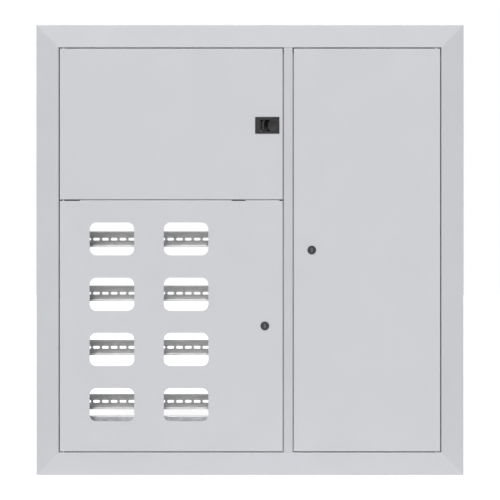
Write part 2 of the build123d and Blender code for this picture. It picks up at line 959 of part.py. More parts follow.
def cover_post_places():
    """Four places near the cover's corners, on the breaker uprights."""
    z0, z1 = cover_span()[1]
    for side in (-1, 1):
        for level in (z0 + cover_post_inset, z1 - cover_post_inset):
            yield breaker_upright_x(side), level


def make_breaker_cover():
    """Flat inner cover with a slot for each row of breakers."""
    x, z = cover_span()
    cover = round_plate(sum(x) / 2, sum(z) / 2, x[1] - x[0], z[1] - z[0], cover_corner,
                        (cover_y, cover_y + sheet))
    for level in breaker_rail_levels():
        cover = cover - round_plate(left_middle_x, level, cover_slot_length, cover_slot_height,
                                    cover_slot_corner, (cover_y, cover_y + sheet))
    for hole_x, hole_z in cover_post_places():
        cover = cover - rod_y(screw_radius + cover_hole_clearance, hole_x, hole_z,
                              (cover_y, cover_y + sheet))
    return joined(cover)


def make_cover_posts():
    """Round posts from the uprights to the cover."""
    posts = []
    for x, z in cover_post_places():
        post = rod_y(cover_post_radius, x, z, (cover_y + sheet, rail_back_y))
        posts.append(post - rod_y(screw_radius, x, z,
                                  (cover_y + sheet, cover_y + sheet + screw_length)))
    return group(posts)


def make_cover_screws():
    """Hand screws through the cover into the posts."""
    screws = []
    for x, z in cover_post_places():
        screw = rod_y(cover_screw_radius, x, z, (cover_y - cover_screw_height, cover_y))
        screw = screw + rod_y(screw_radius, x, z, (cover_y, cover_y + sheet + screw_length))
        screws.append(screw)
    return group(screws)


def make_terminal_bar(x):
    """Brass bar with a row of wire holes."""
    low_z = shelf_z[1] + bar_clearance_z
    span_y = (bar_y, bar_y + bar_depth)
    bar = block((x - bar_length / 2, x + bar_length / 2), span_y, (low_z, low_z + bar_height))
    pitch = bar_length / (bar_holes + 1)
    for index in range(bar_holes):
        hole_x = x + (index - (bar_holes - 1) / 2) * pitch
        bar = bar - rod_y(bar_hole_radius, hole_x, low_z + bar_height / 2, span_y)
    return joined(bar)


def make_bar_holders():
    """Insulating feet under both ends of the two bars."""
    holders = []
    span_y = (bar_y - bar_depth, bar_y - bar_depth + bar_holder_depth)
    top = shelf_z[1] + bar_clearance_z
    for bar_x in (neutral_bar_x, earth_bar_x):
        for side in (-1, 1):
            x = bar_x + side * (bar_length - bar_holder_width) / 2
            span_x = (x - bar_holder_width / 2, x + bar_holder_width / 2)
            holders.append(block(span_x, span_y, (shelf_z[1], top)))
    return group(holders)


# Right compartment

def make_mounting_plate():
    """Plate with rows of slots and side flanges on the wall and the partition."""
    left = partition_right
    right = wall_x
    span = (-wall_z + plate_end_gap, wall_z - plate_end_gap)
    path = [
        (left, plate_y + plate_flange),
        (left, plate_y),
        (right, plate_y),
        (right, plate_y + plate_flange),
    ]
    plate = folded_along_z(path, span)
    middle = (left + right) / 2
    for column in range(plate_slot_columns):
        for row in range(plate_slot_rows):
            x = middle + (column - (plate_slot_columns - 1) / 2) * plate_slot_pitch_x
            z = (row - (plate_slot_rows - 1) / 2) * plate_slot_pitch_z
            plate = plate - slot_y(x, z, plate_slot_length, plate_slot_height,
                                   (plate_y, plate_y + sheet))
    return joined(plate)


def make_earth_studs():
    """Threaded studs with nuts, one on each side wall."""
    inner = (wall_x - stud_length, wall_x)
    stud_z = stud_end_distance - wall_z
    stud = rod_x(stud_radius, stud_y, stud_z, inner)
    outline = Pos(stud_y, stud_z) * RegularPolygon(stud_nut_width / math.sqrt(3), 6)
    nut = extrude(Plane.YZ.offset(wall_x - stud_nut_height) * outline, stud_nut_height)
    stud = stud + nut
    return group([stud, mirror(stud, about=Plane.YZ)])


# All nodes by name

def make_nodes():
    nodes = {}
    trim_right = make_trim_right()
    trim_top = make_trim_top()
    wall_right = make_side_wall()
    wall_top = make_top_wall()
    nodes["trim_right"] = trim_right
    nodes["trim_left"] = mirror(trim_right, about=Plane.YZ)
    nodes["trim_top"] = trim_top
    nodes["trim_bottom"] = mirror(trim_top, about=Plane.XY)
    nodes["centre_post"] = make_post()
    nodes["box_wall_right"] = wall_right
    nodes["box_wall_left"] = mirror(wall_right, about=Plane.YZ)
    nodes["box_wall_top"] = wall_top
    nodes["box_wall_bottom"] = mirror(wall_top, about=Plane.XY)
    nodes["partition"] = make_partition()
    nodes["cross_member"] = make_cross_member()
    nodes["shelf"] = make_shelf()
    nodes["cable_edge_trims"] = make_edge_trims()
    nodes["hinge_pins"] = make_hinge_pins()
    nodes["hinge_lug"] = make_hinge_lug()
    nodes["rest_lugs"] = make_rest_lugs()
    nodes["door_buffers"] = make_buffers()
    nodes["upper_door"] = make_upper_door()
    nodes["lower_door"] = make_lower_door()
    nodes["right_door"] = make_right_door()
    nodes["upper_door_bushes"] = make_bushes(left_hinge_x, upper_door_z)
    nodes["lower_door_bushes"] = make_bushes(left_hinge_x, (lower_door_z[0], notch_floor_z))
    nodes["right_door_bushes"] = make_bushes(right_hinge_x, right_door_z)
    for name, x, z in (("lower_lock", lower_lock_x, lower_lock_z),
                       ("right_lock", right_lock_x, right_lock_z)):
        nodes[name + "_body"] = make_lock_body(x, z)
        nodes[name + "_nut"] = make_lock_nut(x, z)
        nodes[name + "_plug"] = make_lock_plug(x, z)
        nodes[name + "_cam"] = make_lock_cam(x, z)
    nodes["latch_housing"] = make_latch_housing()
    nodes["latch_slider"] = make_latch_slider()
    nodes["latch_detent_spring"] = make_detent_spring()
    for index, (x, z) in enumerate(short_rail_centres()):
        nodes["meter_rail_" + str(index + 1)] = slotted_rail(x, z, short_rail_length)
    for name, step in (("left", -1), ("middle", 0), ("right", 1)):
        x = window_group_x + step * short_rail_pitch
        nodes["meter_upright_" + name] = make_meter_upright(x)
    nodes["meter_crossbar_lower"] = make_crossbar(lower_crossbar_z)
    nodes["meter_crossbar_upper"] = make_crossbar(upper_crossbar_z)
    for name, z in zip(("lower", "upper"), breaker_rail_levels()):
        nodes["breaker_rail_" + name] = slotted_rail(left_middle_x, z, breaker_rail_length)
    nodes["breaker_upright_left"] = make_breaker_upright(-1)
    nodes["breaker_upright_right"] = make_breaker_upright(1)
    nodes["rail_screws"] = make_rail_screws()
    nodes["breaker_cover"] = make_breaker_cover()
    nodes["cover_posts"] = make_cover_posts()
    nodes["cover_screws"] = make_cover_screws()
    nodes["neutral_bar"] = make_terminal_bar(neutral_bar_x)
    nodes["earth_bar"] = make_terminal_bar(earth_bar_x)
    nodes["bar_holders"] = make_bar_holders()
    nodes["mounting_plate"] = make_mounting_plate()
    nodes["earth_studs"] = make_earth_studs()
    return nodes


def main():
    os.makedirs("parts", exist_ok=True)
    nodes = make_nodes()
    for name, shape in nodes.items():
        export_step(shape, os.path.join("parts", name + ".step"))
    print(len(nodes), "nodes written")


main()
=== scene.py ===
# Looks of the floor distribution board: finishes, small fasteners, light and camera round its solids
import json
import math

import bmesh
import bpy
from mathutils import Matrix, Vector


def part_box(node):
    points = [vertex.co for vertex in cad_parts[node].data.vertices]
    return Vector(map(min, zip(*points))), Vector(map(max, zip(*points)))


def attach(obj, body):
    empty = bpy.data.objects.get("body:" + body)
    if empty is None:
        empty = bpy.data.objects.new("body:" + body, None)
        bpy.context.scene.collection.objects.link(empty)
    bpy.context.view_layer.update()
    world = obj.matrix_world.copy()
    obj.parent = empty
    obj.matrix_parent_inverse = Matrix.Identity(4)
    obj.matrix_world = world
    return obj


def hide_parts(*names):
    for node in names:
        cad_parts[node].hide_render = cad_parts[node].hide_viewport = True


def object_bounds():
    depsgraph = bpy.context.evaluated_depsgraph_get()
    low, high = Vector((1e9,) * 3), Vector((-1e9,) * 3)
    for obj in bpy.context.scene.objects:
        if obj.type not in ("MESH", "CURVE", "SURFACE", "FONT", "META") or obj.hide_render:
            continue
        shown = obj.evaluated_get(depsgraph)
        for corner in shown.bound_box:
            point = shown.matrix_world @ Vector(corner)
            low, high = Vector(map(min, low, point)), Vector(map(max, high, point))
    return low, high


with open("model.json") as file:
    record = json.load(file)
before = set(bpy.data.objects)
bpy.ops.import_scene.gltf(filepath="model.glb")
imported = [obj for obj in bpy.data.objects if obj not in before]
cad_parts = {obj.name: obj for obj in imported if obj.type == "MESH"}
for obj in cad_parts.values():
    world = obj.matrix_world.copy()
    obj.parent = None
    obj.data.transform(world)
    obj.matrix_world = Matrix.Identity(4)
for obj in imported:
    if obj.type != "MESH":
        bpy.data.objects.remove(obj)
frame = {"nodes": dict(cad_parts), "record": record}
cad_low, cad_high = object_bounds()

MM = 0.001

# The camera stands square in front of the doors, as in the photograph, in metres
CAMERA_DISTANCE = 3.04
PHOTO_WIDTH_AT_FRONT = 1.1108
SENSOR_WIDTH = 36.0

# Colours as they look on the object, linear red, green and blue
POWDER = (0.638, 0.645, 0.672)
# Stiles and middle post of the frame: the same powder colour made a little darker, as painted shade
POWDER_PAINTED_SHADE = (0.596, 0.603, 0.630)
GALVANISED_DARK = (0.56, 0.57, 0.58)
GALVANISED_LIGHT = (0.69, 0.70, 0.71)
RAIL_DARK = (0.56, 0.56, 0.56)
RAIL_LIGHT = (0.76, 0.76, 0.75)
BLACK_PLASTIC = (0.018, 0.018, 0.0195)
BLACK_STEEL = (0.030, 0.030, 0.032)
LOCK_ZINC = (0.046, 0.046, 0.0485)
SHUTTER_ZINC = (0.118, 0.118, 0.122)
BRIGHT_STEEL = (0.62, 0.62, 0.62)
NYLON = (0.72, 0.71, 0.67)
INSULATOR = (0.12, 0.13, 0.15)
BRASS = (0.72, 0.53, 0.22)
RUBBER = (0.022, 0.022, 0.023)
FLOOR = (0.88, 0.88, 0.88)

# Finishes. A SCALE counts features in a metre, a RANGE is the part of a value over which the colour changes,
# TONES multiply a colour, GLOSS is the lowest and highest roughness, and RELIEF a depth in metres with its
# strength
NOISE_RANGE = (0.3, 0.7)
COARSE_DETAIL = 2
FINE_DETAIL = 3
LINE_DETAIL = 4

# Powder paint
POWDER_ROUGHNESS = 0.42
POWDER_CLOUD_SCALE = 9
POWDER_TONES = (0.985, 1.012)
PEEL_SCALE = 420
PEEL_GLOSS = (0.38, 0.47)
PEEL_RELIEF = (0.00006, 0.5)
PAINT_GRAIN_SCALE = 2600
PAINT_GRAIN_RELIEF = (0.00001, 0.5)

# Galvanised sheet
ZINC_ROUGHNESS = 0.45
ZINC_METALLIC = 0.4
CRYSTAL_SCALE = 150
CRYSTAL_RANGE = (0.2, 0.8)
CRYSTAL_GLOSS = (0.36, 0.52)
FROST_SCALE = 260
FROST_SHARE = 0.35
ZINC_GRAIN_SCALE = 900
ZINC_GRAIN_RELIEF = (0.00002, 0.4)

# Rails, with drawing lines along X; their lips are painted lighter than the web as painted highlight, reach
# LIP_DEPTH back from the front and end softly over LIP_BLEND, both in millimetres
RAIL_ROUGHNESS = 0.42
RAIL_METALLIC = 0.15
RAIL_LINES = (30, 1600, 1600)
RAIL_PATCH_SCALE = 55
RAIL_PATCHES = (1, 3, 3)
RAIL_PATCH_SHARE = 0.55
RAIL_RANGE = (0.35, 0.62)
RAIL_GLOSS = (0.36, 0.5)
RAIL_RELIEF = (0.000012, 0.5)
# How much lighter the lips are painted than the web: a painted highlight
LIP_HIGHLIGHT_GAIN = 1.16
LIP_DEPTH = 1.5
LIP_BLEND = 1.0

# Plastics
PLASTIC_SPECULAR = 0.31
PLASTIC_GRAIN_SCALE = 2400
PLASTIC_TONES = (0.86, 1.16)
PLASTIC_GLOSS_SPREAD = 0.06
PLASTIC_RELIEF = (0.00002, 0.5)
HOUSING_ROUGHNESS = 0.6
NYLON_ROUGHNESS = 0.5
INSULATOR_ROUGHNESS = 0.45

# Dark castings of the locks
CASTING_ROUGHNESS = 0.34
CASTING_METALLIC = 0.9
CASTING_MARK_SCALE = 700
CASTING_TONES = (0.85, 1.35)
CASTING_GLOSS = (0.28, 0.42)
CASTING_GRAIN_SCALE = 1800
CASTING_RELIEF = (0.00001, 0.5)

# Plated screws and drawn brass
PLATED_ROUGHNESS = 0.28
PLATED_TONES = (0.92, 1.05)
PLATED_GLOSS = (0.24, 0.36)
PLATED_RELIEF = (0.000008, 0.4)
STEEL_STREAKS = (900, 900, 900)
BRASS_STREAKS = (40, 1800, 1800)

# Black oxide of the hinge lugs
OXIDE_ROUGHNESS = 0.45
OXIDE_METALLIC = 0.5
OXIDE_SCALE = 300
OXIDE_TONES = (0.75, 1.35)
OXIDE_RELIEF = (0.00002, 0.4)

# Rubber
RUBBER_ROUGHNESS = 0.7
BLOOM_SCALE = 160
BLOOM_TONES = (1.0, 1.8)
BLOOM_GLOSS = (0.6, 0.8)
RUBBER_GRAIN_SCALE = 1500
RUBBER_RELIEF = (0.00003, 0.5)

# Floor: side in metres, gap under the board in millimetres, and the glow that it adds where it is seen
FLOOR_SIZE = 24
FLOOR_GAP = 0.5
FLOOR_ROUGHNESS = 0.9
FLOOR_GLOW = 0.62

# Light: azimuth to the right of straight in front, elevation, strength and spread, then the level all round
KEY_LIGHT = (0, 36, 1.79, 9)
SIDE_LIGHT = (-42, 12, 0.45, 40)
REAR_LIGHT = (165, 35, 0.7, 30)
AMBIENT_LIGHT = 0.16

# All detail pieces, in millimetres and degrees
ROUND_SIDES = 32
HEX_SIDES = 6
SLOT_SIDES = 10
SHARP_ANGLE = 35
WELD_DISTANCE = 0.001
CUT_MARGIN = 0.5
SCREW_TURN = 37
THREAD_PITCH = 1.0
THREAD_DEPTH = 0.35

# Cross recess: reach and floor as shares of the head, its low reach as a share of the reach, and half
# widths of its arms in millimetres
CROSS_REACH = 0.55
CROSS_LOW_SHARE = 0.5
CROSS_FLOOR = 0.25
CROSS_HALF = 0.5
CROSS_HALF_LOW = 0.3

# Heads with a driver slot
DRIVER_SLOT_HALF = 0.5
DRIVER_SLOT_DEPTH = 1.0
DRIVER_SLOT_OVERRUN = 1.0
SLOT_HEAD_CHAMFER = 0.4
KNURL_DEPTH = 0.35

# Screws: radius and height of the head, radius and length of the shank; the curve is in shares of a head
PAN_HEAD_CURVE = ((0.95, 0), (1, 0.12), (1, 0.45), (0.93, 0.72), (0.78, 0.9), (0.5, 0.98), (0.12, 1))
RAIL_SCREW_HEAD = 4.5
RAIL_SCREW_HEIGHT = 2.2
RAIL_SCREW_LENGTH = 6.0
COVER_SCREW_HEAD = 6.0
COVER_SCREW_HEIGHT = 3.0
COVER_SCREW_LENGTH = 7.2
SCREW_SHANK = 2.6
CLAMP_HEAD = 2.6
CLAMP_HEIGHT = 1.8
CLAMP_LENGTH = 3.0
BAR_FIXING_HEAD = 3.0
BAR_FIXING_HEIGHT = 2.0
BAR_FIXING_LENGTH = 3.0
CLAMP_SHANK = 1.9

# Brass bars and their feet; a curve is an inset in millimetres at a share of the height
BAR_HOLES = 9
BAR_HOLDER_WIDTH = 14.0
HOLDER_GROOVES = (0.17, 0.55)
GROOVE_CURVE = ((0, 0), (0.4, 0.03), (2.2, 0.06), (2.2, 0.19), (0.4, 0.22), (0, 0.25))
HOLDER_TOP = ((0, 0.97), (0.5, 1))

# Earth studs
STUD_RADIUS = 3.0
STUD_LENGTH = 16.0
STUD_TIP = 0.8
STUD_WASHER = 1.0
STUD_WASHER_RADIUS = 5.9
STUD_NUT_WIDTH = 10.0
STUD_NUT_TOP = 5.0
NUT_CHAMFER = 0.5

# Rubber buffers: shares of the radius and height
BUFFER_CURVE = ((1, 0), (1, 0.45), (0.93, 0.7), (0.75, 0.9), (0.45, 0.98), (0.12, 1))

# Locks; a wafer is a cross of two reaches and two half widths
SHUTTER_HALF_WIDTH = 2.2
SHUTTER_HALF_HEIGHT = 5.0
SHUTTER_THICKNESS = 0.35
SHUTTER_EDGE = 0.15
SHUTTER_SLIT_HALF = 0.5
KEYWAY_HALF_HEIGHT = 3.4
WAFER_CROSS = (0.85, 3.6, 0.5, 1.6)
WAFER_DEPTHS = (1.0, 2.6, 4.2)
WAFER_THICKNESS = 0.5
BARREL_RADIUS = 7.9
BARREL_THREAD = 0.3
BARREL_BARE = 1.0

# Turns that point a template's Z axis to one side of the board
TO_TOP = Matrix.Identity(4)
TO_FRONT = Matrix.Rotation(math.radians(90), 4, "X")
TO_RIGHT = Matrix.Rotation(math.radians(90), 4, "Y")
TO_LEFT = Matrix.Rotation(math.radians(-90), 4, "Y")


# Materials

class Finish:
    """A material with one principled shader and a few procedural helpers."""

    def __init__(self, name, colour, roughness, metallic=0.0):
        self.material = bpy.data.materials.new(name)
        self.material.use_nodes = True
        self.tree = self.material.node_tree
        self.tree.nodes.clear()
        self.output = self.add("ShaderNodeOutputMaterial")
        self.shader = self.add("ShaderNodeBsdfPrincipled")
        self.link(self.shader.outputs["BSDF"], self.output.inputs["Surface"])
        self.shader.inputs["Base Color"].default_value = (*colour, 1)
        self.shader.inputs["Roughness"].default_value = roughness
        self.shader.inputs["Metallic"].default_value = metallic
        self.coordinates = self.add("ShaderNodeTexCoord").outputs["Object"]
        self.normal = None

    def add(self, kind):
        return self.tree.nodes.new(kind)

    def link(self, source, target):
        self.tree.links.new(source, target)

    def stretched(self, stretch):
        """Object coordinates scaled along each axis."""
        mapping = self.add("ShaderNodeMapping")
        mapping.inputs["Scale"].default_value = stretch
        self.link(self.coordinates, mapping.inputs["Vector"])
        return mapping.outputs["Vector"]

    def noise(self, scale, detail=FINE_DETAIL, stretch=(1, 1, 1)):
        """Noise value with a number of features in a metre."""
        node = self.add("ShaderNodeTexNoise")
        node.inputs["Scale"].default_value = scale
        node.inputs["Detail"].default_value = detail
        self.link(self.stretched(stretch), node.inputs["Vector"])
        return node.outputs["Fac"]

    def cells(self, scale):
        """A random value for each crystal, with a number of crystals in a metre."""
        node = self.add("ShaderNodeTexVoronoi")
        node.inputs["Scale"].default_value = scale
        self.link(self.coordinates, node.inputs["Vector"])
        split = self.add("ShaderNodeSeparateColor")
        self.link(node.outputs["Color"], split.inputs["Color"])
        return split.outputs["Red"]

    def blend_values(self, first, second, share):
        """The first value with a share of the second one."""
        node = self.add("ShaderNodeMix")
        node.inputs["Factor"].default_value = share
        self.link(first, node.inputs["A"])
        self.link(second, node.inputs["B"])
        return node.outputs["Result"]

    def colour_ramp(self, value, low, high, span=NOISE_RANGE):
        """Colour that runs from low to high while a value crosses a span."""
        node = self.add("ShaderNodeValToRGB")
        for element, position, colour in zip(node.color_ramp.elements, span, (low, high)):
            element.position = position
            element.color = (*colour, 1)
        self.link(value, node.inputs["Fac"])
        return node.outputs["Color"]

    def colour_between(self, value, low, high, span=NOISE_RANGE):
        """Base colour that runs from low to high with a value."""
        self.link(self.colour_ramp(value, low, high, span), self.shader.inputs["Base Color"])

    def tones(self, value, colour, factors):
        """Base colour that runs from a darker to a lighter tone with a value."""
        low, high = factors
        self.colour_between(value, shade(colour, low), shade(colour, high))

    def part_in_front(self, depth, blend):
        """One in front of a place along Y in metres, zero behind it, with a soft edge."""
        split = self.add("ShaderNodeSeparateXYZ")
        self.link(self.coordinates, split.inputs["Vector"])
        node = self.add("ShaderNodeMapRange")
        node.inputs["From Min"].default_value = depth + blend / 2
        node.inputs["From Max"].default_value = depth - blend / 2
        self.link(split.outputs["Y"], node.inputs["Value"])
        return node.outputs["Result"]

    def colour_of_parts(self, share, first, second):
        """Base colour that is the first where the share is zero and the second where it is one."""
        node = self.add("ShaderNodeMixRGB")
        self.link(share, node.inputs["Fac"])
        self.link(first, node.inputs["Color1"])
        self.link(second, node.inputs["Color2"])
        self.link(node.outputs["Color"], self.shader.inputs["Base Color"])

    def roughness_between(self, value, low, high):
        """Roughness that runs from low to high with a value."""
        start, end = NOISE_RANGE
        node = self.add("ShaderNodeMapRange")
        node.inputs["From Min"].default_value = start
        node.inputs["From Max"].default_value = end
        node.inputs["To Min"].default_value = low
        node.inputs["To Max"].default_value = high
        self.link(value, node.inputs["Value"])
        self.link(node.outputs["Result"], self.shader.inputs["Roughness"])

    def bump(self, value, depth, strength):
        """Relief of a real depth in metres, on top of any earlier one."""
        node = self.add("ShaderNodeBump")
        node.inputs["Strength"].default_value = strength
        node.inputs["Distance"].default_value = depth
        self.link(value, node.inputs["Height"])
        if self.normal is not None:
            self.link(self.normal, node.inputs["Normal"])
        self.normal = node.outputs["Normal"]
        self.link(self.normal, self.shader.inputs["Normal"])


def shade(colour, factor):
    """A colour made a little darker or lighter."""
    return tuple(min(1.0, part * factor) for part in colour)


def powder_coat(name, colour):
    """Baked powder paint: even colour, soft gloss and a fine orange peel."""
    finish = Finish(name, colour, POWDER_ROUGHNESS)
    finish.tones(finish.noise(POWDER_CLOUD_SCALE, COARSE_DETAIL), colour, POWDER_TONES)
    peel = finish.noise(PEEL_SCALE, COARSE_DETAIL)
    finish.roughness_between(peel, *PEEL_GLOSS)
    finish.bump(peel, *PEEL_RELIEF)
    finish.bump(finish.noise(PAINT_GRAIN_SCALE, COARSE_DETAIL), *PAINT_GRAIN_RELIEF)
    return finish.material


def galvanised_sheet():
    """Hot dip zinc: crystals of about 7 mm that differ in tone and gloss."""
    finish = Finish("galvanised", GALVANISED_LIGHT, ZINC_ROUGHNESS, ZINC_METALLIC)
    crystals = finish.blend_values(finish.cells(CRYSTAL_SCALE), finish.noise(FROST_SCALE), FROST_SHARE)
    finish.colour_between(crystals, GALVANISED_DARK, GALVANISED_LIGHT, CRYSTAL_RANGE)
    finish.roughness_between(crystals, *CRYSTAL_GLOSS)
    finish.bump(finish.noise(ZINC_GRAIN_SCALE, COARSE_DETAIL), *ZINC_GRAIN_RELIEF)
    return finish.material


def rolled_zinc():
    """Plated rail: fine drawing lines along its length, dull patches, and lips painted lighter than the web
    as painted highlight.
    """
    finish = Finish("rail_zinc", RAIL_LIGHT, RAIL_ROUGHNESS, RAIL_METALLIC)
    lines = finish.noise(1, LINE_DETAIL, RAIL_LINES)
    patches = finish.noise(RAIL_PATCH_SCALE, FINE_DETAIL, RAIL_PATCHES)
    mixed = finish.blend_values(lines, patches, RAIL_PATCH_SHARE)
    web = finish.colour_ramp(mixed, RAIL_DARK, RAIL_LIGHT, RAIL_RANGE)
    # Lips in a lighter colour than the web: painted highlight
    lips = finish.colour_ramp(mixed, shade(RAIL_DARK, LIP_HIGHLIGHT_GAIN), shade(RAIL_LIGHT, LIP_HIGHLIGHT_GAIN), RAIL_RANGE)
    lip_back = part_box("meter_rail_1")[0].y + LIP_DEPTH * MM
    finish.colour_of_parts(finish.part_in_front(lip_back, LIP_BLEND * MM), web, lips)
    finish.roughness_between(mixed, *RAIL_GLOSS)
    finish.bump(lines, *RAIL_RELIEF)
    return finish.material


def moulded_plastic(name, colour, roughness):
    """Plastic with the fine spark texture of its mould."""
    finish = Finish(name, colour, roughness)
    finish.shader.inputs["Specular IOR Level"].default_value = PLASTIC_SPECULAR
    grain = finish.noise(PLASTIC_GRAIN_SCALE, COARSE_DETAIL)
    finish.tones(grain, colour, PLASTIC_TONES)
    finish.roughness_between(grain, roughness - PLASTIC_GLOSS_SPREAD, roughness + PLASTIC_GLOSS_SPREAD)
    finish.bump(grain, *PLASTIC_RELIEF)
    return finish.material


def dark_cast_zinc(name, colour):
    """Dark plated die casting with a fine mottle."""
    finish = Finish(name, colour, CASTING_ROUGHNESS, CASTING_METALLIC)
    marks = finish.noise(CASTING_MARK_SCALE)
    finish.tones(marks, colour, CASTING_TONES)
    finish.roughness_between(marks, *CASTING_GLOSS)
    finish.bump(finish.noise(CASTING_GRAIN_SCALE, COARSE_DETAIL), *CASTING_RELIEF)
    return finish.material


def bright_metal(name, colour, stretch):
    """Plated or drawn metal with fine streaks."""
    finish = Finish(name, colour, PLATED_ROUGHNESS, 1.0)
    streaks = finish.noise(1, FINE_DETAIL, stretch)
    finish.tones(streaks, colour, PLATED_TONES)
    finish.roughness_between(streaks, *PLATED_GLOSS)
    finish.bump(streaks, *PLATED_RELIEF)
    return finish.material


def blackened_steel():
    """Black oxide on a stamped plate."""
    finish = Finish("black_steel", BLACK_STEEL, OXIDE_ROUGHNESS, OXIDE_METALLIC)
    cloud = finish.noise(OXIDE_SCALE)
    finish.tones(cloud, BLACK_STEEL, OXIDE_TONES)
    finish.bump(cloud, *OXIDE_RELIEF)
    return finish.material


def black_rubber():
    """Extruded rubber with a dull bloom."""
    finish = Finish("rubber", RUBBER, RUBBER_ROUGHNESS)
    bloom = finish.noise(BLOOM_SCALE)
    finish.tones(bloom, RUBBER, BLOOM_TONES)
    finish.roughness_between(bloom, *BLOOM_GLOSS)
    finish.bump(finish.noise(RUBBER_GRAIN_SCALE, COARSE_DETAIL), *RUBBER_RELIEF)
    return finish.material


def make_materials():
    return {
        "powder": powder_coat("powder", POWDER),
        # The frame's stiles and post get the powder colour made darker as painted shade
        "powder_side": powder_coat("powder_side", POWDER_PAINTED_SHADE),
        "powder_inner": powder_coat("powder_inner", POWDER),
        "galvanised": galvanised_sheet(),
        "rail_zinc": rolled_zinc(),
        "black_steel": blackened_steel(),
        "bright_steel": bright_metal("bright_steel", BRIGHT_STEEL, STEEL_STREAKS),
        "lock_zinc": dark_cast_zinc("lock_zinc", LOCK_ZINC),
        "lock_shutter": dark_cast_zinc("lock_shutter", SHUTTER_ZINC),
        "black_plastic": moulded_plastic("black_plastic", BLACK_PLASTIC, HOUSING_ROUGHNESS),
        "nylon": moulded_plastic("nylon", NYLON, NYLON_ROUGHNESS),
        "bar_plastic": moulded_plastic("bar_plastic", INSULATOR, INSULATOR_ROUGHNESS),
        "brass": bright_metal("brass", BRASS, BRASS_STREAKS),
        "rubber": black_rubber(),
    }


def dress_cad_nodes(materials):
    """Gives every carried-over solid the material of its slot."""
    for row in frame["record"]["subparts"]:
        piece = frame["nodes"][row["node"]]
        piece.data.materials.clear()
        piece.data.materials.append(materials[row["material_slot"]])


# Meshes of the detail pieces, in millimetres along Z until they are placed

def round_section(radius, height, sides=ROUND_SIDES, notch=0.0):
    """Points of a round section; a notch sets back every second one."""
    points = []
    for index in range(sides):
        angle = 2 * math.pi * index / sides
        reach = radius - notch * (index % 2)
        points.append((reach * math.cos(angle), reach * math.sin(angle), height))
    return points


def flat_section(outline, height):
    """Points of an outline in X and Y at one height."""
    return [(x, y, height) for x, y in outline]


def box_outline(half_x, half_y):
    return [(half_x, -half_y), (half_x, half_y), (-half_x, half_y), (-half_x, -half_y)]


def cross_outline(reach_x, reach_y, half_x, half_y):
    """Outline of a cross whose arms reach out along X and Y."""
    quarter = [(reach_x, half_y), (half_x, half_y), (half_x, reach_y)]
    mirrored = [(-x, y) for x, y in reversed(quarter)]
    upper = quarter + mirrored
    return upper + [(-x, -y) for x, y in upper]


def slot_outline(half_x, half_y):
    """Outline with round ends along Y."""
    points = []
    for index in range(SLOT_SIDES + 1):
        angle = math.pi * index / SLOT_SIDES
        points.append((half_x * math.cos(angle), half_y - half_x + half_x * math.sin(angle)))
    return points + [(-x, -y) for x, y in points]


def add_skin(shape, rings):
    """Faces between each ring of points and the next one."""
    for below, above in zip(rings, rings[1:]):
        for index in range(len(below)):
            after = (index + 1) % len(below)
            shape.faces.new((below[index], below[after], above[after], above[index]))


def add_loft(shape, sections):
    """Closed solid through sections that run up the Z axis."""
    rings = [[shape.verts.new(point) for point in section] for section in sections]
    shape.faces.new(list(reversed(rings[0])))
    shape.faces.new(rings[-1])
    add_skin(shape, rings)
    return shape


def loft(sections):
    return add_loft(bmesh.new(), sections)


def add_turned(shape, profile, sides=ROUND_SIDES):
    """Closed round or many-sided solid from (radius, height) points that run up the Z axis."""
    return add_loft(shape, [round_section(radius, height, sides) for radius, height in profile])


def domed(radius, height, curve):
    """Turned solid whose side follows a curve of shares of its radius and height."""
    return add_turned(bmesh.new(), [(radius * part, height * rise) for part, rise in curve])


def tube(profile):
    """Closed ring round the Z axis from a loop of (radius, height) points."""
    shape = bmesh.new()
    rings = [[shape.verts.new(point) for point in round_section(*corner)] for corner in profile]
    add_skin(shape, rings + rings[:1])
    return shape


def thread_profile(crest, depth, low, high):
    """Zigzag of (radius, height) points along a thread."""
    turns = round((high - low) / THREAD_PITCH)
    step = (high - low) / turns
    profile = []
    for turn in range(turns):
        profile.append((crest - depth, low + turn * step))
        profile.append((crest, low + (turn + 0.5) * step))
    return profile + [(crest - depth, high)]


def holder_of(shape, name):
    """Object that holds a shape for a moment."""
    mesh = bpy.data.meshes.new(name)
    shape.to_mesh(mesh)
    holder = bpy.data.objects.new(name, mesh)
    bpy.context.scene.collection.objects.link(holder)
    return holder


def carved(shape, cutter):
    """The shape with the cutter taken away."""
    body = holder_of(shape, "carved_body")
    tool = holder_of(cutter, "carving_tool")
    modifier = body.modifiers.new("carve", "BOOLEAN")
    modifier.operation = "DIFFERENCE"
    modifier.solver = "EXACT"
    modifier.object = tool
    evaluated = body.evaluated_get(bpy.context.evaluated_depsgraph_get())
    mesh = bpy.data.meshes.new_from_object(evaluated)
    result = bmesh.new()
    result.from_mesh(mesh)
    bpy.data.meshes.remove(mesh)
    for holder in (body, tool):
        bpy.data.objects.remove(holder)
    return result


def islands(name):
    """Lowest and highest corner of each separate solid of a node, in metres."""
    shape = bmesh.new()
    shape.from_mesh(frame["nodes"][name].data)
    bmesh.ops.remove_doubles(shape, verts=shape.verts, dist=WELD_DISTANCE * MM)
    waiting = set(shape.verts)
    found = []
    while waiting:
        reached = [waiting.pop()]
        for vertex in reached:
            for edge in vertex.link_edges:
                other = edge.other_vert(vertex)
                if other in waiting:
                    waiting.remove(other)
                    reached.append(other)
        low = Vector([min(vertex.co[axis] for vertex in reached) for axis in range(3)])
        high = Vector([max(vertex.co[axis] for vertex in reached) for axis in range(3)])
        found.append((low, high))
    shape.free()
    return sorted(found, key=lambda box: tuple(box[0]))


def place(point, facing, turn=0.0):
    """Puts a template's origin at a point in metres, its Z axis where it faces."""
    spin = Matrix.Rotation(math.radians(turn), 4, "Z")
    return Matrix.Translation(point) @ facing @ spin @ Matrix.Scale(MM, 4)


